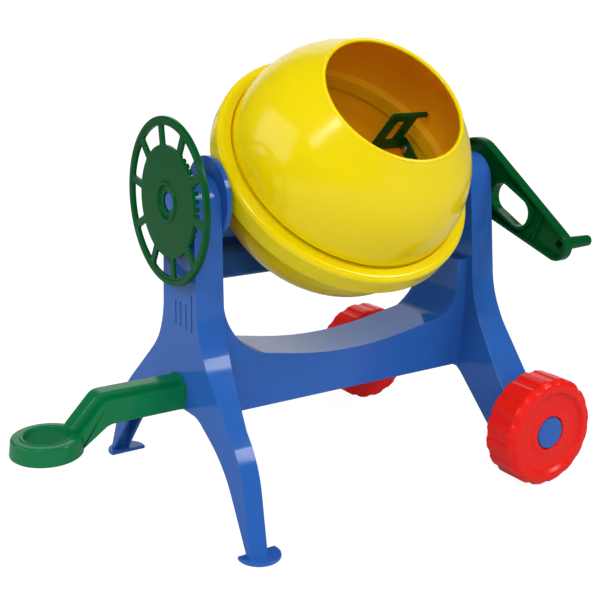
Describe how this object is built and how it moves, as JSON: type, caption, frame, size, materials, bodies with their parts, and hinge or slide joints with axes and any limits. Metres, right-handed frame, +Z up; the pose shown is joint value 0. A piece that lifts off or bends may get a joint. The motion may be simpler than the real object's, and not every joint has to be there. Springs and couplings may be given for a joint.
{
  "type": "toy concrete mixer",
  "caption": "Toy concrete mixer: tilting drum with crank drive, hand wheel, two-wheeled stand with feet and a drawbar with towing eye.",
  "frame": {"origin": "middle of the footprint's bounding box, on the floor", "axes": "+X towards the crank and the road wheels, -X towards the drawbar, -Y the side the drum's mouth leans to, +Z up"},
  "size_m": [0.4417, 0.2578, 0.3367],
  "materials": {
    "blue_plastic": "gloss",
    "yellow_plastic": "gloss",
    "green_plastic": "gloss",
    "red_plastic": "gloss",
    "screw_steel": "zinc plated"
  },
  "bodies": {
    "frame": {"left_end_frame": "blue_plastic", "right_end_frame": "blue_plastic", "saddle_beam": "blue_plastic", "drawbar": "green_plastic", "front_wheel_pin": "blue_plastic", "rear_wheel_pin": "blue_plastic", "drawbar_screw_front": "screw_steel", "drawbar_screw_rear": "screw_steel", "frame_screw_left_front": "screw_steel", "frame_screw_left_rear": "screw_steel", "frame_screw_right_front": "screw_steel", "frame_screw_right_rear": "screw_steel"},
    "front_wheel_body": {"front_wheel": "red_plastic"},
    "rear_wheel_body": {"rear_wheel": "red_plastic"},
    "yoke_body": {"yoke": "blue_plastic", "left_trunnion": "blue_plastic", "left_trunnion_screw": "screw_steel", "handwheel": "green_plastic", "right_trunnion_sleeve": "blue_plastic", "drum_axle": "blue_plastic", "axle_cap": "blue_plastic", "sleeve_screw_front": "screw_steel", "sleeve_screw_rear": "screw_steel"},
    "drum_body": {"drum_bowl": "yellow_plastic", "drum_shell": "yellow_plastic", "crown_gear": "green_plastic", "mixing_paddle": "green_plastic", "paddle_screw_front": "screw_steel", "paddle_screw_rear": "screw_steel"},
    "crank_body": {"crank": "green_plastic", "crank_shaft": "blue_plastic", "crank_screw": "screw_steel", "drive_pinion": "green_plastic"}
  },
  "joints": [
    {"name": "front_wheel_spin", "type": "hinge", "parent": "frame", "child": "front_wheel_body", "pos_m": [0.16025, -0.11, 0.043], "axis": [0, 1, 0], "continuous": true},
    {"name": "rear_wheel_spin", "type": "hinge", "parent": "frame", "child": "rear_wheel_body", "pos_m": [0.16025, 0.11, 0.043], "axis": [0, 1, 0], "continuous": true},
    {"name": "drum_tilt", "type": "hinge", "parent": "frame", "child": "yoke_body", "pos_m": [0.03841, 0, 0.2263], "axis": [1, 0, 0], "range_deg": [-45.5, 75]},
    {"name": "drum_spin", "type": "hinge", "parent": "yoke_body", "child": "drum_body", "pos_m": [0.03841, 0, 0.2263], "axis": [0, -0.7133, 0.7009], "continuous": true},
    {"name": "crank_spin", "type": "hinge", "parent": "yoke_body", "child": "crank_body", "pos_m": [0.18641, 0, 0.2263], "axis": [1, 0, 0], "continuous": true}
  ],
  "couplings": [
    {"joint": "crank_spin", "follows": "drum_spin", "ratio": -9}
  ]
}
